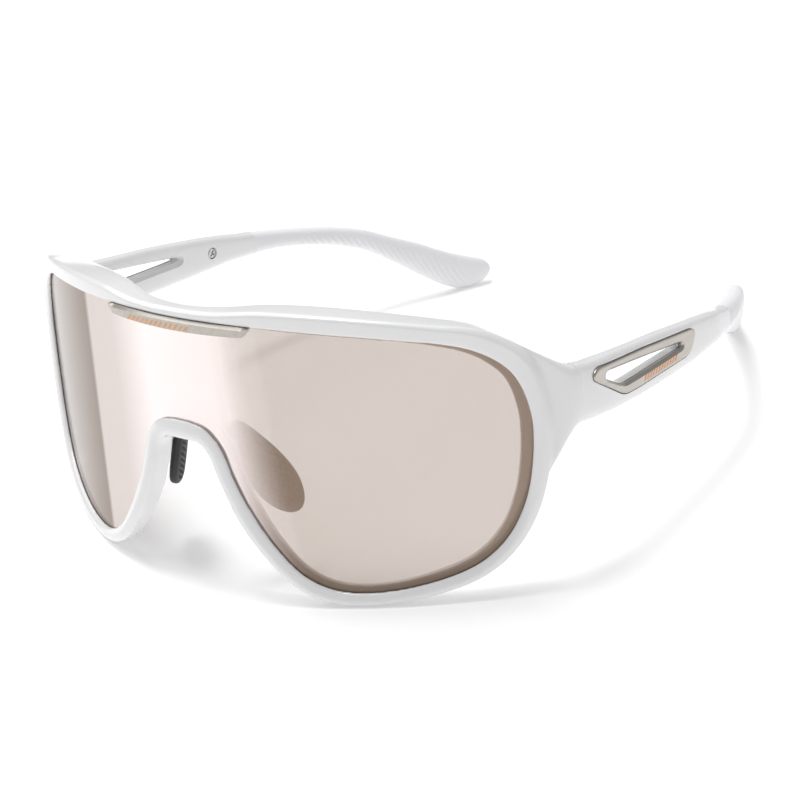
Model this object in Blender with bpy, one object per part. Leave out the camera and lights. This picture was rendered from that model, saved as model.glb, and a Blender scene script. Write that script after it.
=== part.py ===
"""Wraparound sport sunglasses: one shield lens in a full rim, two folding temples, soft ear tips.

Lengths below are in millimetres. X runs to the wearer's left, Y from the front to the ear tips, Z up.
The pair stands open on its two rim bottoms and two ear tips, and each temple folds about an upright pin.
"""

from math import cos, pi, radians, sin

import bmesh
import bpy
from mathutils import Matrix, Vector

MM = 0.001
GAP = 0.3                      # between touching pieces
SHIFT = Vector((0.0, -77.5, 0.0))   # puts the origin under the middle of the open pair

# The lens surface: sideways sag of a shield of 65 mm half width, leaning back as it rises.
HALF_WIDTH = 65.0
SAG_2, SAG_4 = 31.5, -3.0
LEAN = 0.108
MID_Z = 34.0
LENS_T = 1.6

# Visible lens edge, right half, from the top centre round to the nose arch: x, z.
EDGE = [
    (0.0, 58.5), (10.0, 58.35), (20.0, 57.8), (30.0, 56.8), (40.0, 55.4), (50.0, 53.4),
    (57.0, 50.8), (62.2, 46.0), (64.7, 38.0), (64.9, 29.0), (63.6, 20.0), (60.5, 12.5),
    (55.5, 7.4), (48.0, 4.4), (39.5, 2.93), (31.5, 3.4), (25.0, 6.6), (19.5, 12.8),
    (15.2, 19.6), (12.0, 26.5), (9.8, 32.3), (6.0, 36.2), (0.0, 37.1),
]
# Rim section at the same stations: face width, crest, back depth and back width outside the lens,
# then depth and reach of the flange behind the lens.
RIM = [
    (2.0, 1.3, 3.0, 1.8, 3.0, 0.8), (2.2, 1.5, 3.6, 2.2, 3.0, 0.8), (3.4, 2.8, 5.4, 3.2, 3.4, 1.0),
    (3.8, 3.2, 6.0, 3.6, 3.6, 1.0), (3.8, 3.2, 6.0, 3.5, 3.8, 1.0), (3.8, 3.2, 5.6, 3.4, 4.0, 1.2),
    (4.6, 3.6, 4.8, 4.0, 4.2, 1.6), (4.6, 3.6, 3.6, 4.0, 4.4, 2.0), (3.8, 2.6, 3.0, 3.4, 4.4, 2.2),
    (3.6, 2.0, 3.8, 3.2, 4.4, 2.2), (3.2, 1.8, 4.6, 2.9, 4.2, 2.0), (3.0, 1.7, 4.4, 2.6, 3.8, 1.6),
    (2.9, 1.7, 4.0, 2.4, 3.4, 1.2), (2.8, 1.6, 3.8, 2.3, 3.2, 1.0), (2.8, 1.6, 3.6, 2.2, 3.0, 0.8),
    (3.0, 1.7, 3.6, 2.3, 3.0, 0.8), (3.2, 1.8, 3.8, 2.5, 3.0, 0.8), (3.4, 2.0, 4.0, 2.8, 3.2, 0.8),
    (3.6, 2.2, 4.2, 3.0, 3.4, 0.8), (3.6, 2.2, 4.2, 3.0, 3.4, 0.8), (3.6, 2.2, 4.2, 3.0, 3.2, 0.8),
    (3.8, 2.4, 4.2, 3.2, 3.2, 0.8), (4.2, 2.6, 4.2, 3.4, 3.2, 0.8),
]
STATIONS = 3                   # rim sections per control point
LIP = (0.9, 1.4)               # how far the rim's lip and its crest stand in front of the lens
LENS_TUCK, GROOVE = 0.9, 1.3   # lens edge and groove floor behind the lip

# End piece: a web from the rim's outer corner round to the upright face the temple butts on.
SEAM_Y = 36.0
SEAM_X = (66.4, 72.0)
SEAM_Z = (32.6, 45.4)
WEB_Z = (24.0, 51.0)           # the stretch of rim that it grows from
WEB_ROOT = (64.0, 33.1)        # x, y of the foot of its flat inner wall
WEB_STEPS = 5

# Temple: y, outer x, thickness, bottom z, top z.
TEMPLE = [
    (SEAM_Y + GAP, 72.0, 5.6, 32.6, 45.4), (41.0, 72.4, 5.2, 31.8, 44.2), (48.0, 72.5, 4.5, 30.6, 42.9),
    (56.0, 72.3, 4.2, 29.4, 41.3), (64.0, 72.1, 4.1, 28.4, 39.8), (72.0, 71.9, 4.1, 27.7, 38.1),
    (79.0, 71.7, 4.2, 27.1, 36.5), (85.0, 71.4, 4.4, 26.8, 35.1), (91.0, 70.9, 4.6, 26.5, 33.6),
    (95.0, 70.2, 4.7, 26.2, 32.5), (98.7, 69.5, 4.6, 25.8, 31.6),
]
# Ear tip: middle x, y, thickness, bottom z, top z.
EAR_TIP = [
    (67.2, 99.0, 4.6, 25.8, 31.5), (65.0, 106.0, 4.5, 25.0, 29.8), (61.6, 114.0, 4.4, 23.2, 27.7),
    (58.0, 121.0, 4.4, 20.8, 25.7), (54.2, 128.0, 4.5, 17.2, 22.9), (50.4, 134.5, 4.6, 11.8, 19.0),
    (46.6, 140.5, 4.7, 6.2, 15.4), (43.6, 145.0, 4.7, 2.3, 12.3), (41.2, 148.6, 4.6, 0.3, 10.0),
    (38.8, 152.0, 4.4, 0.05, 8.2), (36.8, 155.0, 3.6, 1.2, 6.6), (35.9, 156.4, 1.6, 2.9, 4.9),
]

# Trim ring in the temple side: y, z of its outline, and of its opening.
RING_OUT = [
    (39.8, 40.6), (40.0, 42.0), (41.5, 42.6), (58.5, 39.5), (78.3, 35.4), (80.1, 34.0),
    (78.1, 31.0), (75.8, 30.2), (56.5, 32.0), (51.5, 32.7), (49.5, 33.5),
]
RING_IN = [
    (44.4, 39.0), (44.2, 40.0), (45.2, 40.3), (58.5, 37.5), (73.4, 34.2), (74.5, 33.6),
    (74.1, 32.9), (72.4, 33.0), (55.5, 34.6), (51.0, 35.1), (48.4, 36.4),
]
RING_T, RING_PROUD = 1.0, 0.15

# Hinge: a fork leaf on the end piece, an eye leaf on the temple and an upright screw.
PIN_X, PIN_Y = 63.4, SEAM_Y + GAP / 2
PIN_R, EYE_R, LEAF_T = 0.60, 1.25, 0.6
PIN_CLEAR = 0.05
FORK_Z = [(36.6, 38.6), (41.2, 43.2)]
EYE_Z = (38.9, 40.9)
LEAF_BOTTOM, LEAF_TALL = 33.6, 9.4
SMALL_SCREW = (0.5, 2.95, 0.95, 0.5)   # of a leaf: shank radius and length, head radius and height
SMALL_SCREW_Z = 34.9
TEMPLE_LEAF = (38.0, 35.2, 6.2, 5.8)   # y, z, length and height of its plate
TEMPLE_SCREW = (42.2, 38.2)            # y, z
# The inner wall of the end piece, seen from above: its run, and the way it faces.
WALL = Vector((SEAM_X[0] - WEB_ROOT[0], SEAM_Y - WEB_ROOT[1], 0.0)).normalized()
WALL_IN = Vector((-WALL.y, WALL.x, 0.0))

# Nose pad: upper and lower ends of its middle line, the way its width runs, and its size.
PAD_TOP, PAD_LOW = Vector((6.8, 7.2, 33.2)), Vector((14.8, 11.0, 18.4))
PAD_WIDE = Vector((0.50, 0.86, 0.06)).normalized()
PAD_T = 2.8
POST_ROOT = Vector((9.0, 3.0, 30.4))
POST_WIDE = Vector((0.84, 0.54, 0.0))   # the way the post's width runs
POST_INSET = 1.2               # how far from the pad's middle line it ends
POST_AT = 0.15                 # share of the pad's length where it joins
POST = ((0.0, 0.8, 1.4), (0.5, 0.8, 1.4), (1.0, 1.1, 1.8))   # share of the way, half width, half height

# Badge on the lens under the brow.
BADGE_HALF, BADGE_H, BADGE_T = 18.3, 2.7, 1.1
BADGE_DROP = 0.0019            # its top edge falls by this times x squared
BADGE_RISE = 0.0016            # and its height by this

# Tip core, a flat bar inside the temple end and the ear tip, and its screw.
CORE_T, CORE_H = 1.4, 2.6
SCREW_Y, SCREW_Z, SCREW_R, SCREW_HEAD_R = 84.8, 31.2, 0.75, 1.35

MATERIALS = {
    "frame_white": ((0.90, 0.90, 0.91, 1), 0.0, 0.18), "lens_mirror": ((0.66, 0.58, 0.52, 0.6), 0.3, 0.05),
    "champagne_metal": ((0.52, 0.49, 0.45, 1), 1.0, 0.28), "pad_black": ((0.02, 0.022, 0.022, 1), 0.0, 0.6),
    "tip_white": ((0.82, 0.82, 0.84, 1), 0.0, 0.5), "hinge_steel": ((0.55, 0.55, 0.56, 1), 1.0, 0.35),
}


def clear_scene():
    for obj in list(bpy.data.objects):
        bpy.data.objects.remove(obj, do_unlink=True)


def material(name):
    found = bpy.data.materials.get(name)
    if found:
        return found
    color, metallic, roughness = MATERIALS[name]
    made = bpy.data.materials.new(name)
    made.use_nodes = True
    shader = made.node_tree.nodes["Principled BSDF"]
    shader.inputs["Base Color"].default_value = color
    shader.inputs["Metallic"].default_value = metallic
    shader.inputs["Roughness"].default_value = roughness
    return made


def solid(name, points, faces, finish, side=1):
    """A mesh object in millimetres, mirrored across the middle when side is -1."""
    mesh = bpy.data.meshes.new(name)
    spots = [Vector((p[0] * side, p[1], p[2])) + SHIFT for p in points]
    mesh.from_pydata(spots, [], faces)
    work = bmesh.new()
    work.from_mesh(mesh)
    bmesh.ops.remove_doubles(work, verts=work.verts, dist=1e-5)
    bmesh.ops.recalc_face_normals(work, faces=work.faces)
    if work.calc_volume(signed=True) < 0:
        bmesh.ops.reverse_faces(work, faces=work.faces)
    work.to_mesh(mesh)
    work.free()
    obj = bpy.data.objects.new(name, mesh)
    bpy.context.collection.objects.link(obj)
    mesh.materials.append(material(finish))
    return obj


def loft(rings, kind="capped"):
    """Points and faces of a skin through equal rings: capped, open, or a loop closed on itself."""
    count, size = len(rings), len(rings[0])
    points = [p for ring in rings for p in ring]
    faces = []
    for i in range(count if kind == "loop" else count - 1):
        a, b = i * size, (i + 1) % count * size
        faces += [(a + j, a + (j + 1) % size, b + (j + 1) % size, b + j) for j in range(size)]
    if kind == "capped":
        faces += [tuple(range(size))[::-1], tuple((count - 1) * size + j for j in range(size))]
    return points, faces


def combine(target, other, operation):
    """Joins other into target or cuts it away, and removes other."""
    cut = target.modifiers.new("shape", "BOOLEAN")
    cut.operation, cut.solver, cut.object = operation, "EXACT", other
    graph = bpy.context.evaluated_depsgraph_get()
    mesh = bpy.data.meshes.new_from_object(target.evaluated_get(graph))
    target.modifiers.clear()
    work = bmesh.new()
    work.from_mesh(mesh)
    bmesh.ops.remove_doubles(work, verts=work.verts, dist=2e-3)
    bmesh.ops.dissolve_degenerate(work, edges=work.edges, dist=2e-3)
    bmesh.ops.triangulate(work, faces=work.faces)
    work.to_mesh(mesh)
    work.free()
    target.data = mesh
    bpy.data.objects.remove(other, do_unlink=True)
    return target


def curve(points, steps, closed=False):
    """A smooth curve through points, steps pieces to each span."""
    found, count = [], len(points)
    spans = count if closed else count - 1
    for i in range(spans):
        pick = [(i + k) % count if closed else min(max(i + k, 0), count - 1) for k in (-1, 0, 1, 2)]
        p0, p1, p2, p3 = (points[k] for k in pick)
        for s in range(steps):
            t = s / steps
            found.append(tuple(
                0.5 * (2 * b + (c - a) * t + (2 * a - 5 * b + 4 * c - d) * t * t
                       + (3 * b - a - 3 * c + d) * t**3)
                for a, b, c, d in zip(p0, p1, p2, p3)
            ))
    if not closed:
        found.append(tuple(points[-1]))
    return found


def rounded(half_w, half_h, bulge=2.6, count=16):
    """A soft rectangle about the origin."""
    ring = []
    for k in range(count):
        c, s = cos(2 * pi * (k + 0.5) / count), sin(2 * pi * (k + 0.5) / count)
        ring.append((half_w * abs(c) ** (2 / bulge) * (1 if c > 0 else -1),
                     half_h * abs(s) ** (2 / bulge) * (1 if s > 0 else -1)))
    return ring


def disc(centre, axis, radius, length, count=20):
    """Two rings of a round bar that starts at centre and runs along axis."""
    axis = Vector(axis).normalized()
    across = axis.orthogonal().normalized()
    other = axis.cross(across)
    rings = []
    for at in (0.0, length):
        base = Vector(centre) + axis * at
        turns = [2 * pi * k / count for k in range(count)]
        rings.append([base + across * cos(t) * radius + other * sin(t) * radius for t in turns])
    return rings


def bar(corner, sides):
    """Points and faces of a block from one corner and its three edges."""
    a, b, c = (Vector(side) for side in sides)
    base = Vector(corner)
    low = [base, base + a, base + a + b, base + b]
    return loft([low, [p + c for p in low]])


def slab(outline, x_low, x_high):
    """A plate across X. x_low and x_high give the two faces as a function of y."""
    return loft([[(x_low(y), y, z) for y, z in outline], [(x_high(y), y, z) for y, z in outline]])


def grow(outline, by):
    """The outline moved outward by a distance."""
    count, found = len(outline), []
    area = sum(outline[i - 1][0] * outline[i][1] - outline[i][0] * outline[i - 1][1] for i in range(count))
    turn = 1 if area > 0 else -1
    for i in range(count):
        before, here, after = (Vector(outline[k % count]) for k in (i - 1, i, i + 1))
        first, second = (here - before).normalized(), (after - here).normalized()
        n1, n2 = Vector((first.y, -first.x)) * turn, Vector((second.y, -second.x)) * turn
        middle = (n1 + n2) / max(1 + n1.dot(n2), 0.4)
        found.append(tuple(here + middle * by))
    return found


def lens_y(x, z):
    q = (x / HALF_WIDTH) ** 2
    return SAG_2 * q + SAG_4 * q * q + LEAN * (z - MID_Z)


def lens_front(x):
    """The direction the lens faces at x."""
    slope = (2 * SAG_2 * x + 4 * SAG_4 * x**3 / HALF_WIDTH**2) / HALF_WIDTH**2
    return Vector((slope, -1.0, LEAN)).normalized()


def on_lens(x, z):
    return Vector((x, lens_y(x, z), z))


def rim_stations():
    """Places round the lens edge: the point, outward and forward directions, and the rim section."""
    half = [e + r for e, r in zip(EDGE, RIM)]
    loop = half + [(-p[0],) + tuple(p[1:]) for p in half[-2:0:-1]]
    spots = curve(loop, STATIONS, closed=True)
    found = []
    for i, spot in enumerate(spots):
        here = on_lens(spot[0], spot[1])
        ahead = spots[(i + 1) % len(spots)]
        behind = spots[i - 1]
        along = (on_lens(ahead[0], ahead[1]) - on_lens(behind[0], behind[1])).normalized()
        front = lens_front(spot[0])
        found.append((here, front.cross(along).normalized(), front, spot[2:]))
    return found


def rim_section(here, out, front, size):
    wide, crest, depth, back, inner_depth, reach = size
    lip, top = LIP
    shape = [
        (0.0, GAP), (0.15, lip - 0.15), (0.35, lip), (crest - 0.5, top - 0.1), (crest, top),
        (wide - 0.15, 0.75),
        (wide, 0.1), (back + 0.05, 0.6 - depth), (back - 0.5, -depth), (back - 1.6, -depth),
        (0.5 - reach, -inner_depth), (-reach, 0.4 - inner_depth), (-reach, -LENS_T - GAP),
        (GROOVE, -LENS_T - GAP), (GROOVE, GAP),
    ]
    return [here + out * n + front * f for n, f in shape]


def end_piece(side):
    spots = [spot for spot in rim_stations() if spot[0].x > 50 and WEB_Z[0] < spot[0].z < WEB_Z[1]]
    middle, half = sum(SEAM_X) / 2, (SEAM_X[1] - SEAM_X[0]) / 2
    outer, inner = [], []
    for i, (here, out, front, size) in enumerate(spots):
        share = i / (len(spots) - 1)
        z = SEAM_Z[1] + (SEAM_Z[0] - SEAM_Z[1]) * share
        thick = half * max(1 - abs(2 * share - 1) ** 5, 0.15) ** 0.2
        start, end = here + out * (size[0] - 1.0), Vector((middle + thick, SEAM_Y, z))
        outer.append((start, start + out * 2.5, end - Vector((0.3, 3.0, 0)), end))
        start, end = Vector((*WEB_ROOT, z)), Vector((middle - thick, SEAM_Y, z))
        inner.append((start, start.lerp(end, 1 / 3), start.lerp(end, 2 / 3), end))
    rings = []
    for k in range(WEB_STEPS + 1):
        t = k / WEB_STEPS
        weights = ((1 - t) ** 3, 3 * t * (1 - t) ** 2, 3 * t * t * (1 - t), t**3)
        ring = [sum((p * w for p, w in zip(four, weights)), Vector()) for four in outer + inner[::-1]]
        rings.append(ring)
    points, faces = loft(rings, "open")
    size = len(rings[0])
    for first in (0, len(points) - size):
        faces += [(first + i, first + i + 1, first + size - 2 - i, first + size - 1 - i)
                  for i in range(size // 2 - 1)]
    return solid("end", points, faces, "frame_white", side)


def pad_place():
    along = (PAD_LOW - PAD_TOP).normalized()
    wide = (PAD_WIDE - along * PAD_WIDE.dot(along)).normalized()
    return along, wide, along.cross(wide).normalized()


def post_start():
    """Where the moulded post ends inside the pad."""
    return PAD_TOP.lerp(PAD_LOW, POST_AT) - pad_place()[1] * POST_INSET


def post_ring(at, half_w, half_h):
    return [at + POST_WIDE * a + Vector((0, 0, b)) for a, b in rounded(half_w, half_h, 3.0, 12)]


def front_frame():
    rings = [rim_section(*station) for station in rim_stations()]
    frame = solid("front_frame", *loft(rings, "loop"), "frame_white")
    for side in (1, -1):
        frame = combine(frame, end_piece(side), "UNION")
        rings = [post_ring(post_start().lerp(POST_ROOT, share), w, h) for share, w, h in POST]
        frame = combine(frame, solid("post", *loft(rings), "frame_white", side), "UNION")
        hole = disc(*leaf_screw_front(), SMALL_SCREW[0] + PIN_CLEAR, 2.6, 14)
        frame = combine(frame, solid("hole", *loft(hole), "frame_white", side), "DIFFERENCE")
    return frame


def shield_lens():
    """The lens between its upper and lower edges, which lie in the rim's groove."""
    edge = [here + out * LENS_TUCK for here, out, _, _ in rim_stations()]
    right = edge[: len(edge) // 2 + 1]
    far = max(range(len(right)), key=lambda i: right[i].x)
    top, low = right[: far + 1], right[far:][::-1]

    def height(chain, x):
        for a, b in zip(chain, chain[1:]):
            if min(a.x, b.x) <= x <= max(a.x, b.x) and a.x != b.x:
                return a.z + (b.z - a.z) * (x - a.x) / (b.x - a.x)
        return chain[-1].z

    xs = [0.0]
    for x in sorted(p.x for p in right):
        if x - xs[-1] > 0.12:
            xs.append(x)
    xs[-1] = right[far].x
    rings = []
    for x in [-x for x in xs[:0:-1]] + xs:
        ends = [on_lens(x, height(chain, abs(x))) for chain in (low, top)]
        depth = lens_front(x) * LENS_T
        rings.append([ends[0], ends[1], ends[1] - depth, ends[0] - depth])
    return solid("shield_lens", *loft(rings), "lens_mirror")


def brow_badge():
    """A slim plate with a bevelled front and slanted ends, just below the brow lip."""
    rings = []
    for k in range(-10, 11):
        u = k / 10
        x = BADGE_HALF * u
        squeeze = min(1.0, (1 - abs(u)) / 0.10 + 0.12)
        top_z = EDGE[0][1] - BADGE_DROP * x * x - GAP
        low_z = top_z - (BADGE_H - BADGE_RISE * x * x) * squeeze
        front = lens_front(x)
        rings.append([
            on_lens(x, z) + front * f
            for z, f in ((low_z, GAP), (low_z + 0.1, BADGE_T - 0.3), (low_z + 0.35 * squeeze, BADGE_T + GAP),
                         (top_z - 0.6 * squeeze, BADGE_T + GAP), (top_z, BADGE_T - 0.4), (top_z, GAP))
        ])
    return solid("brow_badge", *loft(rings), "champagne_metal")


def nose_pad(side, name):
    """A soft teardrop pad with a pocket for the frame's post."""
    along, wide, face = pad_place()
    length = (PAD_LOW - PAD_TOP).length
    rings = []
    for share, half in ((-0.06, 0.7), (0.0, 2.0), (0.10, 2.8), (0.3, 3.7), (0.55, 4.3), (0.8, 4.5),
                        (0.98, 4.1), (1.12, 3.2), (1.22, 2.0), (1.265, 0.8)):
        at = PAD_TOP + along * length * share
        thick = PAD_T / 2 * (0.55 if half < 1 else 0.85 if half < 2.2 else 1.0)
        rings.append([at + wide * a + face * b for a, b in rounded(half, thick, 2.4, 16)])
    pad = solid(name, *loft(rings), "pad_black", side)
    run = (POST_ROOT - post_start()).normalized()
    _, w, h = POST[0]
    rings = [post_ring(post_start() + run * at, w + GAP, h + GAP) for at in (-GAP, 6.0)]
    return combine(pad, solid("pocket", *loft(rings), "pad_black", side), "DIFFERENCE")


def foot():
    """The point of the end piece's inner wall nearest the pin."""
    pin = Vector((PIN_X, PIN_Y, 0))
    wall = Vector((*WEB_ROOT, 0))
    return wall + WALL * (pin - wall).dot(WALL)


def leaf_screw_front():
    """Start and direction of the small screw through the fork leaf, from its tip outward."""
    spot = foot() - WALL * 1.9 + Vector((0, 0, SMALL_SCREW_Z))
    return spot - WALL_IN * 2.0, WALL_IN


def leaf_screw_temple():
    """Start and direction of the small screw through the temple's leaf."""
    return Vector((SEAM_X[0] + 2.0, *TEMPLE_SCREW)), Vector((-1, 0, 0))


def drilled(leaf, side, screw):
    """The leaf with its pin bore and its screw hole."""
    bore = disc((PIN_X, PIN_Y, LEAF_BOTTOM - 0.6), (0, 0, 1), PIN_R + PIN_CLEAR, 13)
    leaf = combine(leaf, solid("bore", *loft(bore), "hinge_steel", side), "DIFFERENCE")
    hole = disc(*screw, SMALL_SCREW[0] + PIN_CLEAR, 6, 14)
    return combine(leaf, solid("hole", *loft(hole), "hinge_steel", side), "DIFFERENCE")


def front_leaf(side, name):
    base = foot() + WALL_IN * GAP
    plate = bar(base - WALL * 3.1 + Vector((0, 0, LEAF_BOTTOM)),
                (WALL * 4.0, WALL_IN * LEAF_T, Vector((0, 0, LEAF_TALL))))
    leaf = solid(name, *plate, "hinge_steel", side)
    for low, high in FORK_Z:
        web = bar(base - WALL * 1.1 + WALL_IN * 0.2 + Vector((0, 0, low + 0.05)),
                  (WALL * 1.9, WALL_IN * 1.5, Vector((0, 0, high - low - 0.1))))
        leaf = combine(leaf, solid("web", *web, "hinge_steel", side), "UNION")
        ear = disc((PIN_X, PIN_Y, low), (0, 0, 1), EYE_R, high - low)
        leaf = combine(leaf, solid("ear", *loft(ear), "hinge_steel", side), "UNION")
    return drilled(leaf, side, leaf_screw_front())


def temple_leaf(side, name):
    low, high = EYE_Z
    face = SEAM_X[0] - GAP
    y, z, length, tall = TEMPLE_LEAF
    plate = bar((face - LEAF_T, y, z), ((LEAF_T, 0, 0), (0, length, 0), (0, 0, tall)))
    leaf = solid(name, *plate, "hinge_steel", side)
    web = bar((PIN_X, PIN_Y + 0.2, low + 0.05),
              ((face - PIN_X - 0.3, 0, 0), (0, y + 0.75 - PIN_Y, 0), (0, 0, high - low - 0.1)))
    leaf = combine(leaf, solid("web", *web, "hinge_steel", side), "UNION")
    eye = disc((PIN_X, PIN_Y, low), (0, 0, 1), EYE_R, high - low)
    leaf = combine(leaf, solid("eye", *loft(eye), "hinge_steel", side), "UNION")
    return drilled(leaf, side, leaf_screw_temple())


def screw(name, start, way, sizes, side, cross=False):
    """A screw with its shank first and a slotted or crossed head at the end.

    sizes are the radius and length of the shank, then the radius and height of the head.
    """
    shank_r, shank, head_r, head = sizes
    way, finish = Vector(way).normalized(), "hinge_steel"
    made = solid(name, *loft(disc(start, way, shank_r, shank + 0.1, 16)), finish, side)
    top = Vector(start) + way * shank
    made = combine(made, solid("head", *loft(disc(top, way, head_r, head, 20)), finish, side), "UNION")
    across = way.orthogonal().normalized()
    other = way.cross(across)
    for a, b in ((across, other), (other, across))[: 2 if cross else 1]:
        long = head_r * (0.75 if cross else 1.2)
        corner = top + way * (head * 0.45) - a * long - b * head_r * 0.16
        slot = bar(corner, (a * 2 * long, b * head_r * 0.32, way * head))
        made = combine(made, solid("slot", *slot, finish, side), "DIFFERENCE")
    return made


def temple_ring(y, outer, thick, low, high):
    flat = rounded(thick / 2, (high - low) / 2, 3.4, 16)
    return [Vector((outer - thick / 2 + a, y, (low + high) / 2 + b)) for a, b in flat]


def ring_face(y):
    """Outer face of the temple where the trim ring sits."""
    return 72.55 - 0.022 * (y - 44.0)


def core_path():
    """Middle line of the tip core: x, y, z."""
    return [(69.6, 83.0, 31.3), (69.1, 90.0, 30.3), (67.6, 98.0, 28.8), (65.2, 106.0, 27.4),
            (61.6, 114.0, 25.5), (58.0, 121.0, 23.3), (54.4, 127.6, 20.4)]


def core_solid(name, finish, side, extra):
    path = [Vector(p) for p in curve(core_path(), 2)]
    rings = []
    for i, here in enumerate(path):
        way = (path[min(i + 1, len(path) - 1)] - path[max(i - 1, 0)]).normalized()
        if extra and i in (0, len(path) - 1):
            here = here + way * (-extra if i == 0 else extra)
        out = way.cross(Vector((0, 0, 1))).normalized()
        up = out.cross(way)
        w, h = CORE_T / 2 + extra, CORE_H / 2 + extra
        rings.append([here + out * a * w + up * b * h for a, b in ((-1, -1), (1, -1), (1, 1), (-1, 1))])
    return solid(name, *loft(rings), finish, side)


def tip_screw_axis():
    """Start inside the core, pointing to the wearer's head."""
    return Vector((69.75, SCREW_Y, SCREW_Z)), Vector((-1, 0, 0))


def temple(side, name):
    """The arm: a seat and a window for the trim ring, a slot for the tip core and the screw holes."""
    rings = [temple_ring(*row) for row in curve(TEMPLE, 2)]
    arm = solid(name, *loft(rings), "frame_white", side)
    inside, outside = TEMPLE[0][1] - 12.0, TEMPLE[0][1] + 3.0
    start, way = tip_screw_axis()
    cuts = [
        slab(grow(RING_OUT, GAP), lambda y: ring_face(y) - RING_T - GAP, lambda y: outside),
        slab(RING_IN, lambda y: inside, lambda y: outside),
        loft(disc(start, way, SCREW_R + PIN_CLEAR, 6)),
        loft(disc(start + way * 2.0, way, SCREW_HEAD_R + 0.15, 4)),
        loft(disc(*leaf_screw_temple(), SMALL_SCREW[0] + PIN_CLEAR, 6, 14)),
    ]
    for points, faces in cuts:
        arm = combine(arm, solid("cut", points, faces, "frame_white", side), "DIFFERENCE")
    return combine(arm, core_solid("slot", "frame_white", side, GAP), "DIFFERENCE")


def temple_trim(side, name):
    """A bevelled metal ring: its face stands a little proud of the temple."""
    def face(y):
        return ring_face(y) + RING_PROUD

    rings = [
        [(face(y) - RING_T, y, z) for y, z in RING_OUT],
        [(face(y) - 0.35, y, z) for y, z in RING_OUT],
        [(face(y), y, z) for y, z in grow(RING_OUT, -0.4)],
        [(face(y), y, z) for y, z in grow(RING_IN, 0.5)],
        [(face(y) - 0.6, y, z) for y, z in RING_IN],
        [(face(y) - RING_T, y, z) for y, z in RING_IN],
    ]
    return solid(name, *loft(rings, "loop"), "champagne_metal", side)


def tip_core(side, name):
    core = core_solid(name, "hinge_steel", side, 0.0)
    start, way = tip_screw_axis()
    hole = disc(start - way * 3, way, SCREW_R + PIN_CLEAR, 6)
    return combine(core, solid("hole", *loft(hole), "hinge_steel", side), "DIFFERENCE")


def ear_tip(side, name):
    rows = curve(EAR_TIP, 2)
    rings = []
    for i, (x, y, thick, low, high) in enumerate(rows):
        ahead, behind = rows[min(i + 1, len(rows) - 1)], rows[max(i - 1, 0)]
        way = Vector((ahead[0] - behind[0], ahead[1] - behind[1], 0)).normalized()
        out = Vector((way.y, -way.x, 0)) if i else Vector((1, 0, 0))
        ring = rounded(thick / 2, (high - low) / 2, 2.5, 14)
        rings.append([Vector((x, y, (low + high) / 2 + b)) + out * a for a, b in ring])
    tip = solid(name, *loft(rings), "tip_white", side)
    return combine(tip, core_solid("socket", "tip_white", side, GAP), "DIFFERENCE")


def to_metres():
    """Scales every mesh, and shades round surfaces smooth up to their edges."""
    for obj in bpy.data.objects:
        if obj.type == "MESH":
            obj.data.transform(Matrix.Scale(MM, 4))
            obj.data.shade_smooth()
            obj.data.set_sharp_from_angle(angle=radians(35))


def hang_on_pin(side, word, pieces):
    """Puts the pieces that turn under an empty on the hinge pin."""
    pin = bpy.data.objects.new("temple_pivot_" + word, None)
    bpy.context.collection.objects.link(pin)
    pin.location = (Vector((PIN_X * side, PIN_Y, 0)) + SHIFT) * MM
    bpy.context.view_layer.update()
    for piece in pieces:
        piece.parent = pin
        piece.matrix_parent_inverse = pin.matrix_world.inverted()


def build():
    clear_scene()
    front_frame()
    shield_lens()
    brow_badge()
    for side, word in ((1, "left"), (-1, "right")):
        nose_pad(side, "nose_pad_" + word)
        front_leaf(side, "front_hinge_leaf_" + word)
        screw("front_leaf_screw_" + word, *leaf_screw_front(), SMALL_SCREW, side)
        screw("hinge_screw_" + word, (PIN_X, PIN_Y, 36.8), (0, 0, 1), (PIN_R, 6.5, 1.1, 0.5), side)
        turning = [temple(side, "temple_" + word), temple_trim(side, "temple_trim_" + word),
                   temple_leaf(side, "temple_hinge_leaf_" + word)]
        turning += [
            screw("temple_leaf_screw_" + word, *leaf_screw_temple(), SMALL_SCREW, side),
            tip_core(side, "tip_core_" + word),
            screw("tip_screw_" + word, *tip_screw_axis(), (SCREW_R, 2.05, SCREW_HEAD_R, 0.55), side, True),
            ear_tip(side, "ear_tip_" + word),
        ]
        hang_on_pin(side, word, turning)
    to_metres()


build()
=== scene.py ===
"""Looks of the wraparound sport sunglasses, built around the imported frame.

Shapes are worked out in millimetres (X to the wearer's left, Y from the front to the ear tips, Z up) and
turned to metres when a piece is finished. Each piece is a finer version of the CAD node that it replaces.
"""

from math import cos, pi, radians, sin

import bmesh
import bpy
from mathutils import Matrix, Vector

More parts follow.
